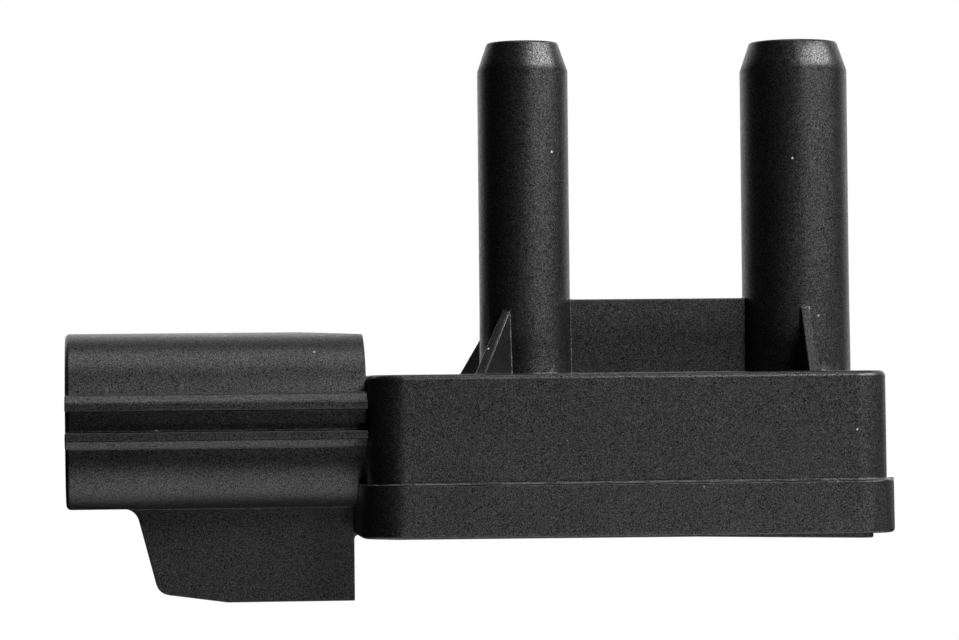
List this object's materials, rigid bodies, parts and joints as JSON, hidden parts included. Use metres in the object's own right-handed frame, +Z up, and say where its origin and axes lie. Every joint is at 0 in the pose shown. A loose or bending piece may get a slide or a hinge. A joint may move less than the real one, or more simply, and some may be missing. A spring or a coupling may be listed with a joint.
{
  "type": "dpf differential pressure sensor",
  "caption": "Differential pressure sensor with upright hose ports, an oval plug socket with side rails, a keel below it and a bolt ear with a steel sleeve.",
  "frame": {"origin": "on the axis of the mounting sleeve's bore, in the plane where the sleeve stands on its bracket", "axes": "+Z up along the bolt and the hose ports, +X from the plug socket towards the large port, the front at -Y"},
  "size_m": [0.071, 0.0452, 0.0489],
  "materials": {
    "housing_plastic": "dark grey glass-filled plastic, fine matt mould texture",
    "cover_plastic": "dark grey glass-filled plastic, matt",
    "sealant": "cured silicone",
    "board_laminate": "glass-fibre laminate with green coating",
    "terminal_tin": "tin-plated copper alloy",
    "solder": "bright solder",
    "pedestal_glass": "clear glass",
    "silicon": "polished silicon",
    "ring_plastic": "black plastic",
    "gel": "clear soft silicone gel",
    "chip_epoxy": "black moulding compound",
    "capacitor_body": "tan ceramic",
    "resistor_body": "black glazed ceramic",
    "sleeve_steel": "zinc-plated steel"
  },
  "bodies": {
    "root": {"housing": "housing_plastic", "bottom_cover": "cover_plastic", "cover_seal": "sealant", "circuit_board": "board_laminate", "board_seal": "sealant", "terminal_supply": "terminal_tin", "terminal_signal": "terminal_tin", "terminal_ground": "terminal_tin", "terminal_sealant": "sealant", "solder_joints": "solder", "die_attach": "sealant", "die_pedestal": "pedestal_glass", "pressure_die": "silicon", "gel_ring": "ring_plastic", "gel_fill": "gel", "signal_chip": "chip_epoxy", "signal_chip_leads": "terminal_tin", "supply_capacitor": "capacitor_body", "output_capacitor": "capacitor_body", "filter_capacitors": "capacitor_body", "trim_resistors": "resistor_body", "mount_sleeve": "sleeve_steel"}
  },
  "joints": []
}
